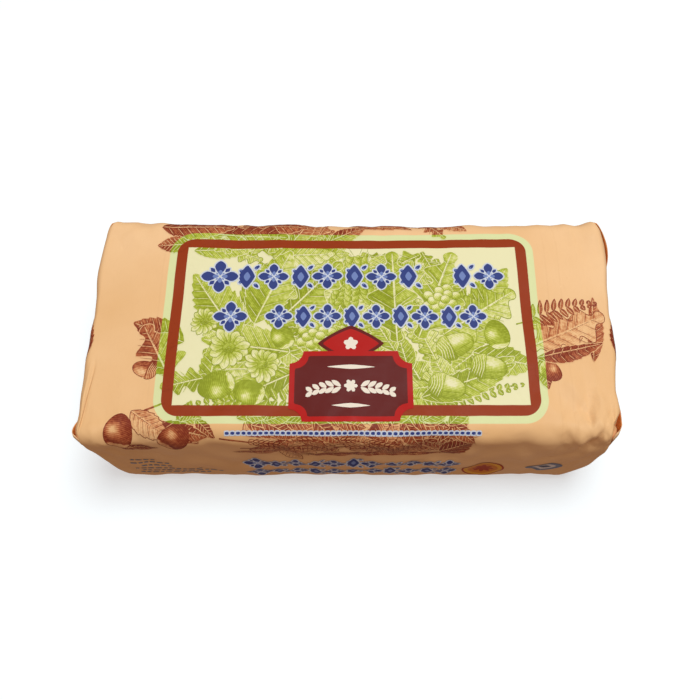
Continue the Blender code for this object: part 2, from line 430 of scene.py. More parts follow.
def mesh_of(name, points, faces, plan):
    """A mesh from arrays in mm, mapped by each point's place on the flat sheet."""
    mesh = bpy.data.meshes.new(name)
    mesh.from_pydata((points / 1000).tolist(), [], faces.tolist())
    corners = np.empty(len(mesh.loops), int)
    mesh.loops.foreach_get("vertex_index", corners)
    mesh.uv_layers.new(name="plan").data.foreach_set("uv", (plan[corners] / 1000).ravel())
    return mesh


def bake_map(mesh, low, high):
    """Copies the plan into the unit square, for where the surface is stored as a picture."""
    plan = np.empty(2 * len(mesh.loops))
    mesh.uv_layers["plan"].data.foreach_get("uv", plan)
    scale = 1 / max(high[0] - low[0], high[1] - low[1])
    square = (plan.reshape(-1, 2) * 1000 - low) * scale
    mesh.uv_layers.new(name="OFBake").data.foreach_set("uv", square.ravel())


def shown(mesh, name, *materials):
    """A piece of the pack, which rides on its one body and stands for its one solid."""
    piece = bpy.data.objects.new(name, mesh)
    bpy.context.collection.objects.link(piece)
    for material in materials:
        mesh.materials.append(material)
    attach(piece, "root")
    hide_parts("wrapped_block")
    return piece


def steps(start, stop, step):
    """Even steps from start to stop, each about as long as asked."""
    return np.linspace(start, stop, max(2, round(abs(stop - start) / step) + 1))


half_net = np.concatenate((
    steps(0, CORNER_FROM, FINE_STEP),
    steps(CORNER_FROM, TUBE_HALF + END_ARC, FINEST_STEP)[1:],
    steps(TUBE_HALF + END_ARC, TUBE_HALF + END_ARC + END_DOWN, COARSE_STEP)[1:],
))
half_round = np.concatenate((
    steps(0, EDGE_FROM, FINE_STEP),
    steps(EDGE_FROM, EDGE_TO, FINEST_STEP)[1:],
    steps(EDGE_TO, TOP_HALF + EDGE_ARC + SIDE_FLAT, FINE_STEP)[1:],
    steps(GIRTH_HALF - TOP_HALF - EDGE_ARC, GIRTH_HALF - TOP_HALF, LOW_STEP)[1:],
    steps(GIRTH_HALF - TOP_HALF, GIRTH_HALF, COARSE_STEP)[1:],
))
wrapper_sheet = Sheet(
    np.concatenate((-half_net[:0:-1], half_net)),
    np.concatenate((-half_round[:0:-1], half_round)),
    lambda s, t: settle(*round_the_block(s, t)),
    relief,
)
wrapper_mesh = wrapper_sheet.mesh("wrapper")
bake_map(wrapper_mesh, *SHEET_SQUARE)
net = bmesh.new()
net.from_mesh(wrapper_mesh)
bmesh.ops.remove_doubles(net, verts=net.verts, dist=1e-6)  # points that fall together in the ends' corners
net.to_mesh(wrapper_mesh)
net.free()
wrapper_mesh.shade_smooth()


def shade(red, green, blue):
    """A colour as it looks on a screen, 0 to 255, in the linear numbers that a shader takes."""
    return tuple(((c / 255 + 0.055) / 1.055) ** 2.4 for c in (red, green, blue)) + (1.0,)


# The paper is pale peach, printed with a framed label on the top: a pale green rim, a brown band with rounded
# corners, and a cream field. It is coated, so it has a low sheen, with faint fibres under it. Its colour also
# carries a painted sheen, paler towards the far side and the right, and painted shade along the sharp crease
# at the near left corner.
PEACH, PALE_PEACH_AND_SHEEN = shade(230, 182, 124), shade(246, 206, 158)
RIM_GREEN, FIELD_CREAM, BAND_BROWN = shade(220, 226, 168), shade(234, 230, 184), shade(150, 56, 20)
FIBRE_GREEN, GHOST_BROWN, CREASE_SHADE_BROWN = shade(210, 214, 140), shade(196, 150, 104), shade(176, 112, 60)
SHINE = 0.14
PRINT_SOFT = 0.2  # over which a printed edge fades
LABEL_MIDDLE = (-1.0, -0.8)
LABEL_HALF = (69.5, 38.2)
RIM_WIDTH, BAND_WIDTH = 2.9, 4.2
RIM_RADIUS, BAND_RADIUS = 9.7, 6.8
GHOST_LINES = (76.0, 81.3, -75.5)  # s where the edge of a layer under it shows through
# Painted shade: a dark line along the sharp crease at the near left corner, standing in for the fold's own
# shadow.
SHADED_CREASE_LINE = ((-97.3, -22.2), (-100.2, -43.8))  # the sharp one at the near left corner


def label_zones(s, t):
    """Shares of rim, band and field at a point of the flat sheet."""
    off_s, off_t = abs(s - LABEL_MIDDLE[0]), abs(t - LABEL_MIDDLE[1])

    def rounded(grow, radius):
        """How far outside a rounded rectangle the point is."""
        over_s, over_t = off_s - (LABEL_HALF[0] + grow - radius), off_t - (LABEL_HALF[1] + grow - radius)
        out_s, out_t = over_s.most(0), over_t.most(0)
        corner = (out_s * out_s + out_t * out_t).math("SQRT")
        return corner + over_s.most(over_t).least(0) - radius

    field = (off_s - (LABEL_HALF[0] - BAND_WIDTH)).most(off_t - (LABEL_HALF[1] - BAND_WIDTH))
    return (
        rounded(RIM_WIDTH, RIM_RADIUS).below(0, PRINT_SOFT),
        rounded(0, BAND_RADIUS).below(0, PRINT_SOFT) * field.above(0, PRINT_SOFT),
        field.below(0, PRINT_SOFT),
    )


def paper_colours(shader):
    """The bare paper's colour, with painted sheen and painted crease shade in it, the label's ground, and the
    shares of label and band.
    """
    s, t = (metres * 1000 for metres in shader.map("plan"))
    rim, band, field = label_zones(s, t)
    cloudy = shader.noise(22, 3)
    fibres = shader.noise(1400, 2, (1, 0.25, 1))
    # Painted sheen: besides its random clouds, the paper's colour grows paler towards the far side and a
    # little towards the right, and stays darker down the near side.
    bare = shader.mix(cloudy.above(0.5, 0.5) * 0.7 + s * 0.0004 + t * 0.005 + 0.07, PEACH, PALE_PEACH_AND_SHEEN)
    ghost = abs(s - GHOST_LINES[0]).below(0.2, 0.6)
    for line in GHOST_LINES[1:]:
        ghost = ghost.most(abs(s - line).below(0.2, 0.6))
    bare = shader.mix(ghost * 0.10 + (fibres - 0.5) * 0.16, bare, GHOST_BROWN)
    # Painted shade: the paper's colour is darkened in a thin line along that sharp crease, in place of the
    # shadow of the fold.
    (s0, t0), (s1, t1) = SHADED_CREASE_LINE
    crease_shade = abs(s - s0 - (t - t0) * ((s1 - s0) / (t1 - t0))).below(0.18, 0.3)
    bare = shader.mix(crease_shade * t.below(t0, 8) * t.above(t1, 4) * 0.6, bare, CREASE_SHADE_BROWN)
    ground = shader.mix(field, RIM_GREEN, FIELD_CREAM)
    ground = shader.mix((fibres - 0.5) * 0.2 + (cloudy - 0.4) * 0.25, ground, FIBRE_GREEN)
    return bare, ground, rim, band


def coated(shader, roughness=0.52):
    """Small unevenness of the coated paper, and a sheen that is broken by it."""
    crinkle, fibres = shader.noise(420, 3), shader.noise(2600, 2)
    added = 0.11  # by the two kinds of noise, on average
    feed(crinkle * 0.14 + fibres * 0.08 + (roughness - added), shader.surface.inputs["Roughness"])
    bump = {"Strength": 0.35, "Distance": 0.00012, "Height": crinkle * 0.8 + fibres * 0.3}
    feed(shader.add("Bump", None, bump), shader.surface.inputs["Normal"])


paper = Shader("printed_paper", Metallic=0.0, Specular_IOR_Level=SHINE)
bare, ground, rim, band = paper_colours(paper)
label = paper.mix(band, ground, BAND_BROWN)
feed(paper.mix(rim, bare, label), paper.surface.inputs["Base Color"])
coated(paper)
shown(wrapper_mesh, "wrapper", paper.material)

# Each end is closed with a flap from below, which lies on the top flap's edge, and then with a pointed wing
# from the front and from the back. A wing isn't pasted down along its upper edge, so it stands off the end
# there, and the paper's uncoated, deeper orange inside shows in the pocket. Painted shade darkens that inside
# towards the wing's tip, where the pocket is deepest.
LAYER = 0.7  # one fold of the paper with the air under it
PAPER_THICK = 0.2
FOLD_START, FOLD_MARGIN = 0.8, 0.5
FLAP_TOP, FLAP_SIDE_MARGIN = 34.0, 2.4
WING_REACH, WING_UPPER_SLOPE = 26.5, 0.78
WING_HEIGHT = 1.5 * LAYER
WING_SUNK, WING_RISE = 0.3, 1.8
WING_LOOSE_FROM = 0.25
WING_STANDS_OFF = {  # how far at most, and at which share of its reach
    ("left", "front"): (0.6, 0.30),
    ("left", "back"): (0.6, 0.40),
    ("right", "front"): (4.2, 0.83),
    ("right", "back"): (3.0, 0.44),
}
FOLD_FACES = 44
FOLD_PLAN = 150.0  # where a fold's own plan begins, clear of the label
FOLD_WAVES, FOLD_CREASES = 0.05, 0.15
# The second of these colours is painted shade, for the deep end of the pocket.
INSIDE_ORANGE, INSIDE_SHADED = shade(240, 156, 84), shade(196, 70, 22)

inside_paper = Shader("paper_inside", Roughness=0.7, Specular_IOR_Level=SHINE)
# Painted shade: the inside's colour darkens towards the wing's tip, where the pocket is deepest.
to_tip = (inside_paper.map("plan")[0] * 1000 - FOLD_PLAN) / WING_REACH
inside_colour_with_shade = inside_paper.mix(to_tip.above(0.52, 0.5), INSIDE_ORANGE, INSIDE_SHADED)
feed(inside_colour_with_shade, inside_paper.surface.inputs["Base Color"])


def corner_inset(inset):
    """How far a fold keeps from one plane of the block, at this inset from the next one."""
    into_corner = np.maximum(0, LONG_EDGE_RADIUS - inset)
    return FOLD_MARGIN + LONG_EDGE_RADIUS - np.sqrt(LONG_EDGE_RADIUS**2 - into_corner**2)


def end_reach(y, z):
    """How far the block's rounded end reaches in X at this place on it."""
    across = np.maximum(0, np.abs(y) - TOP_HALF) / LONG_EDGE_RADIUS
    up = np.maximum(0, np.abs(z - HEIGHT / 2) - SIDE_FLAT / 2) / LONG_EDGE_RADIUS
    return LENGTH / 2 - END_EDGE_RADIUS * (1 - np.sqrt(np.maximum(0, 1 - across**2 - up**2)))


def thicken(piece):
    """Gives a piece the paper's thickness. Its second material is the paper's inside."""
    thick = piece.modifiers.new("paper", "SOLIDIFY")
    thick.thickness = PAPER_THICK / 1000
    thick.offset = -1
    thick.material_offset = 1


def fold(name, end, size, place, lift):
    """A flap on one end, as thin paper. place and lift take shares of its length and its width."""
    sign = -1 if end == "left" else 1

    def folded(s, t):
        s, t = (s - FOLD_PLAN) / size[0], t / size[1]
        y, z = place(s, t)
        return settle(sign * (end_reach(y, z) + lift(s, t)), y, z)

    def uneven(s, t):
        s, t = s - FOLD_PLAN, t + 30 * len(name)  # so that the waves differ from fold to fold
        waves = np.sin(0.31 * s + 0.17 * t) + np.sin(0.24 * t - 0.12 * s) + 0.6 * np.sin(0.55 * s + 0.4 * t)
        sharp = np.abs(np.sin(0.16 * s - 0.21 * t + 1.3 * np.sin(0.1 * t)))
        way = -1 if "flap" in name else 1  # keeps the right flap's creases off the paper under them
        return FOLD_WAVES * waves + way * FOLD_CREASES * (1 - sharp) ** 3

    shares = np.linspace(0, 1, FOLD_FACES + 1)
    sheet = Sheet(FOLD_PLAN + size[0] * shares, size[1] * shares, folded, uneven)
    mesh = sheet.mesh(name)
    bake_map(mesh, (FOLD_PLAN, 0), (FOLD_PLAN + size[0], size[1]))
    piece = shown(mesh, name, paper.material, inside_paper.material)
    if np.mean(sheet.normals[..., 0]) * sign < 0:
        mesh.flip_normals()
    mesh.shade_smooth()
    thicken(piece)


def bottom_flap(end):
    def place(s, t):
        z = FOLD_START + s * (FLAP_TOP - FOLD_START)
        return (2 * t - 1) * (WIDTH / 2 - np.maximum(FLAP_SIDE_MARGIN, corner_inset(z))), z

    fold(f"{end}_bottom_flap", end, (FLAP_TOP, WIDTH), place, lambda s, t: LAYER + 0 * s)


def wing(end, side):
    inward = 1 if side == "front" else -1

    def place(s, t):
        inset = FOLD_START + s * WING_REACH
        lower = np.maximum(inset, corner_inset(inset))
        upper = HEIGHT - np.maximum(WING_UPPER_SLOPE * inset, corner_inset(inset))
        return -inward * (WIDTH / 2 - inset), lower + (upper - lower) * t

    stands_off, most_at = WING_STANDS_OFF[end, side]

    def lift(s, t):
        flat = (WING_HEIGHT + WING_SUNK) * np.minimum(1, s * WING_REACH / WING_RISE) - WING_SUNK
        loose = np.maximum(0, t - WING_LOOSE_FROM) / (1 - WING_LOOSE_FROM)
        share = np.maximum(0, np.minimum(s / most_at, (1 - s) / (1 - most_at)))
        return flat + stands_off * np.sin(math.pi / 2 * share) ** 1.5 * loose**2

    fold(f"{end}_{side}_wing", end, (WING_REACH, HEIGHT), place, lift)


for end in ("left", "right"):
    bottom_flap(end)
    for side in ("front", "back"):
        wing(end, side)

# The sheet laps under the block, from the near side to past the middle, and the pack rests on the lap. Its
# edge is straight and isn't stuck down.
LAP_FROM, LAP_TO, LAP_END_MARGIN = -36.0, 20.0, 7.0
LAP_HALF = LENGTH / 2 - LAP_END_MARGIN
LAP_RUN_IN = 5.0  # where it leaves the underside


def under_the_block(s, t):
    y = t - FOLD_PLAN
    rise = np.clip((LAP_FROM + LAP_RUN_IN - y) / LAP_RUN_IN, 0, 1)
    return settle(s, y, -LAYER * (1 - rise * rise * (3 - 2 * rise)))


lap_sheet = Sheet(
    steps(-LAP_HALF, LAP_HALF, COARSE_STEP),
    FOLD_PLAN + steps(LAP_FROM, LAP_TO, COARSE_STEP),
    under_the_block,
)
lap_mesh = lap_sheet.mesh("lap")
bake_map(lap_mesh, (-LAP_HALF, FOLD_PLAN + LAP_FROM), (LAP_HALF, FOLD_PLAN + LAP_TO))
lap_mesh.flip_normals()
lap_mesh.shade_smooth()
lap = shown(lap_mesh, "lap", paper.material, inside_paper.material)
thicken(lap)

# The sheet is printed by offset before it is cut. The main picture is an engraving in one ink: green where
# it crosses the label, brown on the bare paper. Here it is drawn flat, as areas and lines, and becomes a
# thin skin of ink that follows the folded paper. Whatever is drawn first lies in front, and hides the rest.
INK_LIFT, LINE_LIFT = 0.06, 0.09
LINE_STEP = 0.9
SOLID = -1000.0  # in place of a hatching coordinate, where the ink isn't hatched
BROWNS = (shade(212, 150, 100), shade(176, 96, 58), shade(128, 50, 30))
GREENS = (shade(212, 215, 124), shade(176, 188, 62), shade(138, 150, 30))
HATCH_PITCH = 0.82
HATCH_DEPTH = 0.34


class Drawing:
    """Areas and lines on the flat sheet, from front to back."""

    def __init__(self):
        self.areas, self.lines = [], []

    def pen(self, s, t, turn=0.0, bend=0.0):
        """A pen with its foot at s and t, turned by degrees."""
        return Pen(self, s, t, math.radians(turn), bend)


class Pen:
    """Draws one motif in a frame of its own: X runs along it, from its foot, and may be bent to an arc."""

    def __init__(self, drawing, s, t, turn, bend):
        self.drawing, self.foot, self.turn = drawing, np.array((s, t)), turn
        self.bend = bend or 1e-6

    def place(self, points):
        """The flat sheet's points for local ones, and unplace goes back."""
        x, y = np.asarray(points, float).T
        reach = 1 / self.bend - y
        x, y = reach * np.sin(x * self.bend), 1 / self.bend - reach * np.cos(x * self.bend)
        cos, sin = math.cos(self.turn), math.sin(self.turn)
        return self.foot + np.stack((x * cos - y * sin, x * sin + y * cos), axis=-1)

    def unplace(self, points):
        x, y = (points - self.foot).T
        cos, sin = math.cos(self.turn), math.sin(self.turn)
        x, y = x * cos + y * sin, y * cos - x * sin
        sign = math.copysign(1, self.bend)
        reach = np.hypot(x, 1 / self.bend - y) * sign
        return np.arctan2(x * sign, (1 / self.bend - y) * sign) / self.bend, 1 / self.bend - reach

    def area(self, outline, tone, hatch=None, edge=0.22, edge_tone=1.0):
        """A closed outline. tone is the ink's, 0 to 1, or takes local x and y to give it. hatch takes them
        too, and gives the coordinate, in mm, that the engraved lines run across."""
        placed = self.place(outline)
        cross = placed[:, 0] * np.roll(placed[:, 1], -1) - placed[:, 1] * np.roll(placed[:, 0], -1)
        placed = placed if cross.sum() > 0 else placed[::-1]
        self.drawing.areas.append((placed, self, tone, hatch))
        if edge:
            self.line(np.concatenate((outline, outline[:1])), edge, edge_tone, taper=False)

    def line(self, points, width, tone=1.0, taper=True):
        """A line on the latest area. Whatever was drawn before that area hides it."""
        rank = len(self.drawing.areas) - 1
        self.drawing.lines.append((self.place(points), width, tone, taper, rank))

    def stem(self, points, width, tone=0.85):
        """A line that lies behind all that is drawn already."""
        self.drawing.lines.append((self.place(points), width, tone, False, len(self.drawing.areas)))

    def part(self, x, y, turn=0.0, bend=0.0):
        """A pen whose foot is at this place in the frame of this one, turned by radians from it."""
        foot = self.place([(x, y)])[0]
        return Pen(self.drawing, *foot, self.turn + self.bend * x + turn, bend)


def inside(points, outline):
    """Which points lie inside a closed outline: those from where a ray crosses it an odd number of times."""
    x, y = points[:, :1], points[:, 1:]
    (x0, y0), (x1, y1) = outline.T, np.roll(outline, -1, axis=0).T
    crosses = (y0 > y) != (y1 > y)
    with np.errstate(divide="ignore", invalid="ignore"):
        where = x0 + (y - y0) * (x1 - x0) / (y1 - y0)
    return (crosses & (x < where)).sum(axis=1) % 2 == 1


def resampled(points, step):
    """The same line, with its points at most one step apart."""
    runs = np.hypot(*np.diff(points, axis=0).T)
    length = np.concatenate(((0,), np.cumsum(runs)))
    if length[-1] < 1e-6:
        return points[:1]
    at = np.linspace(0, length[-1], max(2, math.ceil(length[-1] / step) + 1))
    return np.stack([np.interp(at, length, points[:, axis]) for axis in (0, 1)], axis=-1)


def inked_areas(drawing, sheet, name, lift):
    """The areas as one net of triangles on the sheet, with tone and hatching at each corner."""
    outlines = [resampled(np.concatenate((o, o[:1])), LINE_STEP)[:-1] for o, _, _, _ in drawing.areas]
    flat = np.concatenate(outlines)
    starts = np.cumsum([0] + [len(o) for o in outlines])
    faces = [list(range(starts[i], starts[i + 1])) for i in range(len(outlines))]
    low, high = flat.min(axis=0), flat.max(axis=0)
    rows = [k[(k > a) & (k < b)] for k, a, b in zip((sheet.along, sheet.across), low, high)]
    grid = np.stack(np.meshgrid(*rows), axis=-1).reshape(-1, 2)
    points = [Vector(p) for p in np.concatenate((flat, grid)).tolist()]
    inside_only, merge_within = 1, 1e-4
    places, _, triangles, _, _, owners = delaunay_2d_cdt(points, [], faces, inside_only, merge_within)
    places = np.array([tuple(p) for p in places])
    inked = [k for k, owner in enumerate(owners) if owner]
    front = np.array([min(owners[k]) for k in inked])
    triangles = np.array([triangles[k] for k in inked])
    ink = np.zeros((len(triangles), 3, 2))
    for index, (_, pen, tone, hatch) in enumerate(drawing.areas):
        mine = front == index
        x, y = pen.unplace(places[triangles[mine]].reshape(-1, 2))
        level = tone(x, y) if callable(tone) else tone
        ink[mine, :, 0] = np.clip(level + 0 * x, 0, 1).reshape(-1, 3)
        ink[mine, :, 1] = SOLID if hatch is None else hatch(x, y).reshape(-1, 3)
    mesh = mesh_of(name, sheet.at(places[:, 0], places[:, 1], lift), triangles, places)
    mesh.uv_layers.new(name="ink").data.foreach_set("uv", ink.reshape(-1))
    return mesh


def inked_lines(drawing, sheet, name, lift):
    """The lines as ribbons on the sheet, cut where something in front hides them."""
    runs = [(resampled(p, LINE_STEP), w, tone, taper, rank) for p, w, tone, taper, rank in drawing.lines]
    every = np.concatenate([run[0] for run in runs])
    rank = np.concatenate([np.full(len(run[0]), run[4]) for run in runs])
    hidden = np.zeros(len(every), bool)
    for index, (outline, _, _, _) in enumerate(drawing.areas):
        low, high = outline.min(axis=0), outline.max(axis=0)
        near = np.flatnonzero((rank > index) & ~hidden & (every > low).all(1) & (every < high).all(1))
        hidden[near] = inside(every[near], outline)
    places, faces, tones, start, first = [], [], [], 0, 0
    for points, width, tone, taper, _ in runs:
        count = len(points)
        seen = ~hidden[start:start + count]
        start += count
        if count < 2:
            continue
        ahead = np.gradient(points, axis=0)
        across = np.stack((-ahead[:, 1], ahead[:, 0]), axis=-1)
        across /= np.maximum(1e-9, np.hypot(*across.T))[:, None]
        share = np.linspace(0, 1, count)[:, None]
        half = width / 2 * ((4 * share * (1 - share)) ** 0.5 * 0.85 + 0.15 if taper else 1 + 0 * share)
        places.append(np.concatenate((points - across * half, points + across * half)))
        kept = first + np.flatnonzero(seen[:-1] & seen[1:])
        faces.append(np.stack((kept, kept + 1, kept + 1 + count, kept + count), axis=-1))
        tones.append(np.full(4 * len(kept), tone))
        first += 2 * count
    places, faces, tones = np.concatenate(places), np.concatenate(faces), np.concatenate(tones)
    mesh = mesh_of(name, sheet.at(places[:, 0], places[:, 1], lift), faces, places)
    ink = np.stack((tones, np.full(len(tones), SOLID)), axis=-1)
    mesh.uv_layers.new(name="ink").data.foreach_set("uv", ink.ravel())
    return mesh


def printed(drawing, name, material, lift):
    """Puts a drawing on the sheet: its areas as one piece, and its lines, just above them, as another."""
    for kind, build, up in (("", inked_areas, lift), ("_lines", inked_lines, lift + LINE_LIFT - INK_LIFT)):
        if drawing.lines or not kind:
            mesh = build(drawing, wrapper_sheet, name + kind, up)
            bake_map(mesh, *SHEET_SQUARE)
            shown(mesh, name + kind, material)


def turned(count):
    """Even angles once round."""
    return np.linspace(0, 2 * math.pi, count, endpoint=False)


def oval(x, y, half_x, half_y, count=28):
    return np.stack((x + half_x * np.cos(turned(count)), y + half_y * np.sin(turned(count))), axis=-1)


def both_sides(x, half):
    """An outline from its half-widths: up one side and back down the other."""
    x, half = np.asarray(x, float), np.asarray(half, float)
    up, down = np.stack((x, half), axis=-1), np.stack((x, -half), axis=-1)[::-1]
    return np.concatenate((up, down[1:-1] if half[0] == half[-1] == 0 else down))


def pointed(length, width, fullest=0.5, count=13):
    """A plain leaf or grain: half-widths that are 0 at both ends."""
    u = np.linspace(0, 1, count)
    half = width / 2 * np.sin(math.pi * u ** (math.log(0.5) / math.log(fullest))) ** 0.8
    half[0] = half[-1] = 0
    return both_sides(length * u, half)


VEINS = 8  # of a leaf, along its midrib


def leaf(pen, length, width, tone, teeth=0, lobes=0):
    """A leaf with a midrib, side veins and, if asked, a toothed or lobed edge."""
    u = np.linspace(0, 1, 12 * max(teeth, lobes, 5) + 1)
    half = width / 2 * np.sin(math.pi * u**0.85) ** 0.8
    x = length * u
    if teeth:
        saw = (u * teeth) % 1
        half, x = half * (1 - 0.16 * (1 - saw)), x + length * 0.02 * saw * (u < 1)
    if lobes:
        wavy = 0.68 + 0.32 * np.cos(u * lobes * 2 * math.pi + 0.4)
        half = width / 2 * np.sin(math.pi * u**0.9) ** 0.6 * wavy
    half[0] = half[-1] = 0

    def veins(x, y):
        return x - 0.75 * np.abs(y)

    def modelled(x, y):
        ribbed = (veins(x, y) / (length / VEINS)) % 1
        fold = np.where(y > 0, 0.13, -0.13) * np.minimum(1, np.abs(y))
        rim = 0.22 * np.clip(2 * np.abs(y) / width - 0.45, 0, 1)
        return tone + fold - rim + 0.42 * (ribbed - 0.5) + 0.3 * (0.5 - x / length)

    pen.area(both_sides(x, half), modelled, veins, edge=0.26, edge_tone=0.04 if tone > 0.6 else 1.0)
    pen.line([(0, 0), (length * 0.97, 0)], 0.03 * width + 0.22, 0.08)
    pen.line([(0, -0.02 * width - 0.1), (length * 0.95, -0.02)], 0.2, 1.0)
    for k in range(1, VEINS):
        for side in (-1, 1):
            foot = length * (k / VEINS - 0.04)
            reach = 0.8 * width / 2 * math.sin(math.pi * min(1, (k + 0.6) / (VEINS + 0.5)) ** 0.85)
            bend, stop = (foot + 0.45 * reach, 0.55 * reach * side), (foot + 0.8 * reach, reach * side)
            path = np.array([(foot, 0), bend, stop])
            pen.line(path, 0.24, 0.16)
            pen.line(path + (0.2, -0.14 * side), 0.15, 1.0)


def acorn(pen, length):
    """An acorn in its cup, lying with its foot to the left."""
    half = 0.33 * length
    u = np.linspace(0, 1, 19)
    cup = both_sides(length * 0.4 * u, half * 1.14 * np.sqrt(1 - (1 - u) ** 2.2) * (1 - 0.06 * u**4))
    pen.stem([(-0.35 * length, 0.06 * length), (0, 0)], 0.8)
    pen.area(cup, lambda x, y: 0.74 - 0.3 * y / half, lambda x, y: x + 0.5 * np.sin(y / half * 9))
    for k in range(1, 6):
        bow = [(length * (0.066 * k + 0.03 * math.cos(3 * v)), half * v) for v in np.linspace(-0.95, 0.95, 9)]
        pen.line(np.array(bow) * (1, 0.62 + 0.09 * k), 0.3, 0.10)
    kernel = both_sides(length * (0.3 + 0.7 * u), half * np.sqrt(np.maximum(0, 1 - (1.02 * u) ** 2.6)))

    def glossy(x, y):
        lit_x, lit_y = (x - 0.58 * length) / (0.2 * length), (y - 0.3 * half) / (0.32 * half)
        return 0.6 - 0.62 * np.exp(-(lit_x**2 + lit_y**2)) - 0.3 * y / half + 0.3 * (x > 0.93 * length)

    pen.area(kernel, glossy, lambda x, y: 1.3 * y)
    pen.line([(0.42 * length, -0.45 * half), (0.9 * length, -0.25 * half)], 0.3, 1.0)


def chestnut(pen, radius):
    """A chestnut, with its pale scar and a highlight."""
    around = turned(36)
    reach = radius * (1 + 0.08 * np.cos(2 * around) + 0.10 * np.cos(around) ** 9)
    outline = np.stack((reach * np.cos(around), 0.9 * reach * np.sin(around)), axis=-1)

    def glossy(x, y):
        lit = np.exp(-(((x - 0.2 * radius) ** 2 + (y - 0.35 * radius) ** 2) / (0.34 * radius) ** 2))
        return np.where(x < -0.62 * radius, 0.22, 0.78 - 0.8 * lit + 0.2 * np.hypot(x, y) / radius)

    pen.area(outline, glossy, lambda x, y: 1.2 * np.hypot(x + 1.5 * radius, y))


SPREAD_TURN = 2.4  # radians from one to the next, which spreads many evenly
PETALS = 13


def daisy(pen, radius):
    """An open flower: a dotted eye, and petals that overlap."""
    eye = 0.27 * radius
    pen.area(oval(0, 0, eye, eye * 0.9), lambda x, y: 0.72 + 0.25 * (y < 0), lambda x, y: x + y)
    for k in range(14):
        around = SPREAD_TURN * k
        spot = np.array((math.cos(around), math.sin(around))) * eye * 0.8 * math.sqrt(k / 14)
        pen.line([spot, spot + (0.25, 0.1)], 0.32, 0.05)
    for k in range(PETALS):
        petal = pen.part(0, 0, 2 * math.pi * k / PETALS)
        long = radius * (0.92 + 0.12 * math.sin(5 * k))
        petal.area(
            pointed(long - eye * 0.7, 0.42 * radius, 0.62) + (eye * 0.7, 0),
            lambda x, y: 0.06 + 0.5 * np.exp(-(((x - eye) / (0.3 * radius)) ** 2)) + 0.18 * (y < 0),
            lambda x, y: y * 1.5,
            edge=0.26,
        )
        petal.line([(eye * 1.3, 0), (long * 0.8, 0.02 * radius)], 0.2, 0.75)


def wheat(pen, length, rows=9, tone=0.42):
    """An ear of wheat: plump grains in two ranks, with their awns."""
    for k in range(rows, 0, -1):
        along = length * (0.08 + 0.72 * k / rows)
        for side in (1, -1):
            grain = pen.part(along, 0.02 * length * side, 0.42 * side)
            grain.area(
                pointed(0.15 * length, 0.084 * length, 0.42),
                lambda x, y: tone + 0.3 * (y < 0),
                lambda x, y: 1.4 * y,
            )
            grain.line([(0.15 * length, 0), (0.30 * length, -0.012 * length * side)], 0.18, 0.9)
    pen.stem([(-0.5 * length, 0), (length * 0.8, 0)], 0.55)


def fern(pen, length, width, pairs=13, tone=0.7):
    """A frond: pairs of small leaflets that shorten towards its tip."""
    for k in range(pairs, 0, -1):
        share = k / pairs
        long = width / 2 * (1.05 - share) ** 0.7 * min(1, 0.55 + 3 * share)
        for side in (1, -1):
            leaflet = pen.part(length * share * 0.96, 0, 1.05 * side, 0.02 * side)
            leaflet.area(
                pointed(long, 0.66 * length / pairs, 0.38),
                lambda x, y: tone + 0.2 * (y > 0),
                lambda x, y: x - np.abs(y),
                edge=0.16,
            )
            leaflet.line([(0, 0), (long * 0.85, 0)], 0.24, 0.12)
    pen.stem([(-0.15 * length, 0), (length, 0)], 0.6)


def rose_hips(pen, count, radius, spread):
    """A bunch of small round hips, each with its light and its dark side."""

    def round_lit(x, y):
        lit = np.exp(-(((x + 0.3 * radius) ** 2 + (y - 0.3 * radius) ** 2) / (0.45 * radius) ** 2))
        return 0.5 - 0.5 * lit - 0.4 * y / radius

    for k in range(count):
        off, around = spread * math.sqrt((k + 0.3) / count), SPREAD_TURN * k
        hip = pen.part(off * math.cos(around), 0.8 * off * math.sin(around))
        hip.turn = 0
        outline = oval(0, 0, radius, radius, 22)
        hip.area(outline, round_lit, lambda x, y: 1.3 * np.hypot(x - radius, y + radius))


ink = Shader("engraving_ink", Metallic=0.0, Specular_IOR_Level=SHINE)
bare, ground, rim, band = paper_colours(ink)
tone, hatch = ink.map("ink")
wave = (hatch / HATCH_PITCH).math("PINGPONG", 0.5) * 2 - 0.5
stipple, patches = ink.noise(950, 4), ink.noise(90, 2)
hatched = wave * hatch.above(SOLID / 2, 1) * HATCH_DEPTH
dark = tone + hatched + (stipple - 0.5) * 0.9 + (patches - 0.5) * 0.5


def three_tones(base, tones):
    """The bare ground where there is no ink, and then lighter to darker ink."""
    colour = ink.mix(dark.above(0.16, 0.3), base, tones[0])
    colour = ink.mix(dark.above(0.46, 0.3), colour, tones[1])
    return ink.mix(dark.above(0.82, 0.34), colour, tones[2])


on_label = ink.mix(band, three_tones(ground, GREENS), BAND_BROWN)
feed(ink.mix(rim, three_tones(bare, BROWNS), on_label), ink.surface.inputs["Base Color"])
coated(ink, 0.5)

# The picture is a heap of autumn's gleanings. In front, from left to right, lie daisies and chestnuts, then
# acorns on oak leaves.
picture = Drawing()


def laid(*motifs):
    """Motifs from front to back, each with s and t, turn, bend and then its sizes. A leaf's are its length,
    width and tone, and how many teeth it has or, after a 0, how many lobes."""
    for motif, s, t, turn, bend, *sizes in motifs:
        motif(picture.pen(s, t, turn, bend), *sizes)


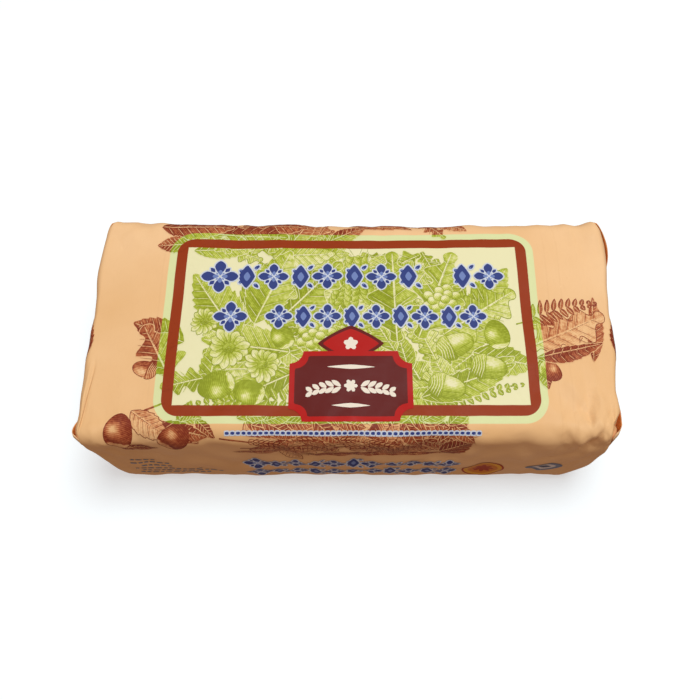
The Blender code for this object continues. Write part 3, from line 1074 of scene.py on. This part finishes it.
laid(
    (daisy, -47, -12, 10, 0, 9.0),
    (daisy, -34, -19, 40, 0, 7.5),
    (daisy, -57, -1, 0, 0, 6.2),
    (chestnut, -50, -27, 200, 0, 6.4),
    (chestnut, -38, -30, 160, 0, 5.6),
    (chestnut, -27, -8, 120, 0, 5.0),
    (acorn, 31, -14, 24, 0, 15),
    (acorn, 43, -19, -8, 0, 14),
    (acorn, 27, -26, -14, 0, 14),
    (chestnut, 54, -7, 100, 0, 5.8),
    (rose_hips, -14, -7, 0, 0, 15, 1.9, 7.6),
    (rose_hips, 34, 9, 0, 0, 13, 1.9, 7),
    (leaf, 24, -32, 14, 0.006, 38, 12, 0.84, 11),
    (leaf, 40, -26, 22, 0.008, 22, 10, 0.7, 8),
    (leaf, -44, -8, 118, 0.006, 34, 19, 0.74, 11),
    (leaf, -38, -2, 74, -0.005, 36, 19, 0.66, 11),
    (leaf, -30, -2, 40, 0.008, 38, 17, 0.82, 0, 4),
    (leaf, 24, -8, 62, 0.006, 42, 22, 0.72, 0, 4),
    (leaf, 34, -6, 26, 0.008, 34, 20, 0.60, 0, 4),
    (leaf, 16, -10, 96, -0.004, 42, 20, 0.84, 0, 4),
    (wheat, 8, 2, 108, -0.008, 30),
    (wheat, -2, 0, 84, 0.004, 32),
    (wheat, -10, 2, 64, 0.010, 28),
    (fern, 22, -33, 4, 0.004, 42, 13),
    (fern, -22, -33, 177, 0.006, 42, 13),
    (leaf, -22, -22, 200, 0.006, 32, 14, 0.84, 9),
    (leaf, -24, -14, 165, 0.006, 34, 17, 0.7, 9),
    (leaf, 44, -14, -18, 0.006, 24, 14, 0.8, 8),
    (leaf, 46, 0, 66, -0.01, 27, 15, 0.7, 9),
    (leaf, -54, -24, 190, 0.006, 18, 11, 0.8, 0, 3),
)

CLEAR_CORNERS = [(-46, 8, -1, 1), (44, 18, 1, 1), (50, -20, 1, -1)]  # of the label: from s and t, which way
HEAP_TURN = 65  # degrees that a leaf may be turned off its aim
HEAP_BEND = 0.008
chance = random.Random(4)


def heap(count, low, high, sizes, tones, aim=None, lobed=0.4):
    """Leaves strewn over a part of the sheet. They point one way, roughly, or with no aim to the label's
    middle, and then keep out of the clear corners."""
    for _ in range(count):
        s, t = (chance.uniform(*ends) for ends in zip(low, high))
        in_clear = any((s - s0) * right > 0 and (t - t0) * up > 0 for s0, t0, right, up in CLEAR_CORNERS)
        if aim is None and in_clear:
            continue
        turn = math.degrees(math.atan2(-t, -s)) if aim is None else aim
        size = chance.uniform(*sizes)
        edge = {"lobes": 4} if chance.random() < lobed else {"teeth": 9}
        pen = picture.pen(s, t, turn + chance.uniform(-HEAP_TURN, HEAP_TURN), HEAP_BEND)
        leaf(pen, size, 0.52 * size, chance.uniform(*tones), **edge)


heap(120, (-57, -32), (57, 34), (16, 27), (0.38, 0.84))

# Outside the label it goes on in brown: to the left, over the far edge, as a garland on the near one, and to
# the right. The last leaves lie along the label's far band and on the top flaps of the ends.
laid(
    (acorn, -73, -22, 165, 0, 10),
    (leaf, -67, -26, 112, 0.010, 27, 19, 0.78, 0, 3),
    (leaf, -64, -10, 150, 0.012, 22, 13, 0.95, 9),
    (leaf, -66, 35, 182, 0.008, 13, 9, 0.95, 8),
    (leaf, -79, 43, 2, 0, 30, 14, 0.95, 9),
    (leaf, -56, 40, 14, -0.02, 30, 13, 0.95, 0, 4),
    (leaf, -46, 46, -4, 0, 27, 12, 0.9, 9),
)
heap(34, (-76, 42), (-30, 60), (13, 20), (0.75, 1.0), aim=10)
laid((leaf, -2, 47, 8, -0.02, 26, 8, 0.8, 7))
heap(9, (4, 48), (44, 58), (13, 18), (0.7, 0.95), aim=10)
laid(
    (chestnut, -85.5, -45.5, 80, 0, 6.4),
    (chestnut, -65.5, -48, 40, 0, 6.0),
    (leaf, -81, -37, -44, 0.02, 18, 10, 0.15, 7),
)
picture.pen(-86, -41, 80, -0.09).stem([(0, 0), (22, 0)], 0.7)
laid(
    (leaf, -72, -42, -24, 0.02, 20, 9, 0.95, 7),
    (leaf, -86, -51, -24, 0.02, 14, 6, 1.0, 5),
    (leaf, -57, -40, -50, 0.02, 10, 5, 0.95, 5),
)
heap(4, (-68, -43), (-63, -41), (9, 11), (0.8, 0.95), aim=0, lobed=0)
heap(30, (-48, -42.5), (40, -38.6), (11, 15), (0.8, 0.98), aim=0, lobed=0)
laid((leaf, 31, -57, 28, 0.02, 14, 12, 1.0, 7))
heap(8, (22, -56), (36, -44), (11, 15), (0.75, 1.0), aim=20)
for k in range(11):
    wheat(picture.pen(-41 + 6.9 * k, -48 - 5.0 * (k % 2), 9 * (k % 3) - 8, -0.004), 15, 6, 0.1)
laid((leaf, -45, -57.5, 3, 0, 32, 4, 0.7, 9), (leaf, -20, -59.5, 1, 0, 56, 4.5, 0.8, 13))
heap(44, (-40, -56), (32, -45), (9, 14), (0.05, 0.6), aim=0)
laid(
    (leaf, -44, -45, 0, 0, 88, 8, 0.9, 25),
    (fern, 66, 0, 24, -0.012, 31, 15, 10, 0.72),
    (leaf, 68, -16.5, 3, 0.012, 29, 7, 0.98, 8),
    (leaf, 66, -12, 20, 0.004, 35, 21, 0.28, 0, 4),
    (leaf, 91.5, -18, 77, 0.01, 28, 8, 0.72, 11),
    (leaf, 68, -2, -8, 0, 27, 16, 0.5, 0, 3),
    (chestnut, 73, -21.5, -30, 0, 4.4),
    (leaf, 69.5, -17, -78, 0, 12, 7, 0.95, 6),
    (leaf, -64, 31.5, 4, 0, 24, 10, 0.75, 10),
)
heap(18, (-60, 29), (8, 38), (13, 17), (0.5, 0.85), aim=0)
laid((leaf, -104, -16, 100, 0, 20, 13, 1.0, 9), (leaf, 104, -16, 80, 0, 20, 13, 1.0, 9))
printed(picture, "engraving", ink.material, INK_LIFT)


# Blue ornament crosses the label in two rows, with a pale rim and a lighter inner light. Smaller rows of the
# same are on both long sides, and a fine dashed rule runs below the label.
ORNAMENT_LIFT = 0.13
ORNAMENT_RIM = 0.55
LIGHT_SHARE, LIGHT_SHIFT = 0.42, 0.12  # the inner light's size, of its shape's, and how far it lies off
PALE_BLUE, LIGHT_BLUE, DEEP_BLUE = shade(203, 211, 222), shade(112, 132, 186), shade(52, 66, 128)
RULE_FROM, RULE_AT, DASHES, DASH_PITCH = -46.3, -45.1, 46, 2.0
DASH = both_sides((0, 0.3, 1.2, 1.5), (0.3, 0.55, 0.55, 0.3))


def flat_ink(name, *tones):
    """Ink without hatching. Its tone, 0 to 1, runs through three colours."""
    shader = Shader(name, Metallic=0.0, Specular_IOR_Level=SHINE)
    tone = shader.map("ink")[0] + (shader.noise(900, 3) - 0.5) * 0.25
    colour = shader.mix(tone.above(0.25, 0.3), tones[0], tones[1])
    feed(shader.mix(tone.above(0.75, 0.3), colour, tones[2]), shader.surface.inputs["Base Color"])
    coated(shader, 0.5)
    return shader.material


def star(half_x, half_y):
    """A four-pointed star with sunken sides."""
    cos, sin = np.cos(turned(32)), np.sin(turned(32))
    x, y = half_x * np.sign(cos) * np.abs(cos) ** 1.7, half_y * np.sign(sin) * np.abs(sin) ** 1.7
    return np.stack((x, y), axis=-1)


def rosette(half, lobes):
    """A flower's outline."""
    around = turned(48)
    reach = half * (0.52 + 0.48 * np.abs(np.cos(around * lobes / 2)) ** 0.7)
    return np.stack((reach * np.cos(around), reach * np.sin(around)), axis=-1)


def grown(outline, rim):
    """The outline, moved outwards by rim."""
    after = np.roll(outline, -1, axis=0)
    if np.sum(outline[:, 0] * after[:, 1] - after[:, 0] * outline[:, 1]) < 0:
        outline = outline[::-1]
    ahead = np.roll(outline, -1, axis=0) - np.roll(outline, 1, axis=0)
    out = np.stack((ahead[:, 1], -ahead[:, 0]), axis=-1)
    return outline + rim * out / np.maximum(1e-9, np.hypot(*out.T))[:, None]


def rimmed(pen, shapes):
    """Blue shapes in front, each with a smaller light one on it, and a pale rim behind them all."""
    for x, y, turn, outline in shapes:
        pen.part(x + LIGHT_SHIFT, y, turn).area(outline * LIGHT_SHARE, 0.5, edge=0)
    for x, y, turn, outline in shapes:
        pen.part(x, y, turn).area(outline, 1.0, edge=0)
    for x, y, turn, outline in shapes:
        pen.part(x, y, turn).area(grown(outline, ORNAMENT_RIM), 0.0, edge=0)


def flower(pen, high):
    """Four petals, with small stars between them."""
    petal = pointed(0.5 * high, 0.32 * high, 0.6) + (0.04 * high, 0)
    small = star(0.10 * high, 0.07 * high) + (0.30 * high, 0)
    quarter = math.pi / 2
    shapes = [(0, 0, quarter * k, petal) for k in range(4)]
    rimmed(pen, shapes + [(0, 0, math.pi / 4 + quarter * k, small) for k in range(4)])


def lozenge(pen, high):
    """A tall star, with a slanting leaf at each of its corners."""
    small = pointed(0.26 * high, 0.14 * high, 0.4)
    corners = [(side, up) for side in (-1, 1) for up in (-1, 1)]
    shapes = [(side * 0.27 * high, up * 0.3 * high, side * up * 0.8, small) for side, up in corners]
    rimmed(pen, [(0, 0, 0, star(0.3 * high, 0.5 * high))] + shapes)


ornament = Drawing()
for start, stop, t, high, turn, gap in (
    (-58, 58, 19.4, 11.0, 0, 8),
    (-52, 50, 1.2, 9.7, 0, 1),
    (-41, 40, -70.5, 8.0, 0, None),
    (-41, 40, -82.2, 8.0, 0, None),
    (-41, 40, 74.0, 8.0, 180, None),
    (-41, 40, 86.0, 8.0, 180, None),
):
    count = round((stop - start) / (0.95 * high))
    for k in range(count):
        if k != gap:
            pen = ornament.pen(start + (stop - start) * (k + 0.5) / count, t, turn)
            (flower, lozenge)[k % 2](pen, high * (1.25 if k == 0 else 1.0))
for k in range(DASHES):
    s = RULE_FROM + DASH_PITCH * k
    ornament.pen(s, RULE_AT).area(DASH, 0.9, edge=0)
    ornament.pen(s - 0.25, RULE_AT).area(both_sides((0, DASH_PITCH), (0.95, 0.95)), 0.1, edge=0)
printed(ornament, "blue_ornament", flat_ink("blue_ink", PALE_BLUE, LIGHT_BLUE, DEEP_BLUE), ORNAMENT_LIFT)

# A maroon ticket with a red border covers the label's lower middle, with a red lozenge above it. A cream
# sprig is printed on it, and a small flower on the lozenge.
PLAQUE_LIFT = 0.20
PLAQUE_MIDDLE, PLAQUE_HALF = (-1.4, -27.4), (22.6, 13.8)
PLAQUE_CORNER, PLAQUE_BORDER = 5.0, 2.0
SPRIG_PAIRS, SPRIG_LEAN = 5, 0.6
CREST_UP = 3.2  # how far above the ticket's upper edge the lozenge's middle is
CREAM, RED, MAROON = shade(236, 226, 208), shade(178, 22, 16), shade(98, 24, 20)


def ticket(half_x, half_y):
    """A rectangle with its corners hollowed out, counter-clockwise."""
    outline = []
    for quarter, (x, y) in enumerate(((1, 1), (-1, 1), (-1, -1), (1, -1))):
        for step in np.linspace(0, math.pi / 2, 9):
            angle = (-math.pi / 2 - step) + quarter * math.pi / 2
            hollow_x, hollow_y = PLAQUE_CORNER * math.cos(angle), PLAQUE_CORNER * math.sin(angle)
            outline.append((x * half_x + hollow_x, y * half_y + hollow_y))
    return np.array(outline)


plaque = Drawing()
middle = plaque.pen(*PLAQUE_MIDDLE)
for side in (-1, 1):
    for k in range(SPRIG_PAIRS):
        for up in (-1, 1):
            turn = SPRIG_LEAN * up if side > 0 else math.pi - SPRIG_LEAN * up
            leaflet = middle.part(side * (3.4 + 2.6 * k), -0.4 - 0.12 * k * k, turn)
            leaflet.area(pointed(4.4 - 0.3 * k, 1.8, 0.55), 0.0, edge=0)
middle.area(rosette(2.6, 6), 0.0, edge=0)
middle.part(0, -7.6).area(star(7.0, 0.9), 0.0, edge=0)
middle.part(0, 7.4).area(star(9.0, 0.9), 0.0, edge=0)
middle.area(ticket(PLAQUE_HALF[0] - PLAQUE_BORDER, PLAQUE_HALF[1] - PLAQUE_BORDER), 1.0, edge=0)
middle.area(ticket(*PLAQUE_HALF), 0.5, edge=0)
crest = plaque.pen(PLAQUE_MIDDLE[0], PLAQUE_MIDDLE[1] + PLAQUE_HALF[1] + CREST_UP)
crest.part(0, 0, math.pi / 2).area(rosette(2.8, 5), 0.0, edge=0)
crest.area(star(10.5, 6.2), 0.5, edge=0)
crest.area(star(12.4, 7.6), 1.0, edge=0)
printed(plaque, "plaque", flat_ink("plaque_ink", CREAM, RED, MAROON), PLAQUE_LIFT)

# An amber seal is printed low on the near side, to the right: a rust rosette on ochre, inside an amber ring
# with a rust edge.
AMBER, OCHRE, RUST = shade(226, 164, 40), shade(206, 122, 28), shade(168, 62, 22)
seal = Drawing()
sun = seal.pen(51.6, -80.5)
sun.area(rosette(4.6, 8), 1.0, edge=0)
for radius, corners, tone in ((6.2, 32, 0.5), (7.9, 40, 0.0), (8.7, 40, 1.0)):
    sun.area(oval(0, 0, radius, radius, corners), tone, edge=0)
printed(seal, "amber_seal", flat_ink("amber_ink", AMBER, OCHRE, RUST), ORNAMENT_LIFT)

# A blue-grey lozenge is printed to the right of the seal and, far to the left of it, a block of fine broken
# rules.
WHITE, STEEL, SLATE = shade(214, 208, 202), shade(118, 128, 148), shade(80, 86, 108)
RULE_ENDS = [(-89, -78), (-90, -75), (-86, -74), (-90, -62), (-88, -53), (-90, -58)]
RULES_FROM, RULE_PITCH, RULE_HALF, RULE_GAP = -70.0, 2.9, 0.45, 0.7
small_print = Drawing()
badge = small_print.pen(77.4, -77.0)
for half_x, half_y, tone in ((3.2, 2.2, 1.0), (5.6, 4.2, 0.0), (8.8, 6.4, 0.6)):
    badge.area(star(half_x, half_y), tone, edge=0)
for row, (s, stop) in enumerate(RULE_ENDS):
    while s < stop:
        dash = 1.6 + 1.4 * math.sin(9 * s + row) ** 2
        pen = small_print.pen(s, RULES_FROM - RULE_PITCH * row)
        pen.area(both_sides((0, dash), (RULE_HALF, RULE_HALF)), 0.6, edge=0)
        s += dash + RULE_GAP
printed(small_print, "small_print", flat_ink("grey_ink", WHITE, STEEL, SLATE), ORNAMENT_LIFT)
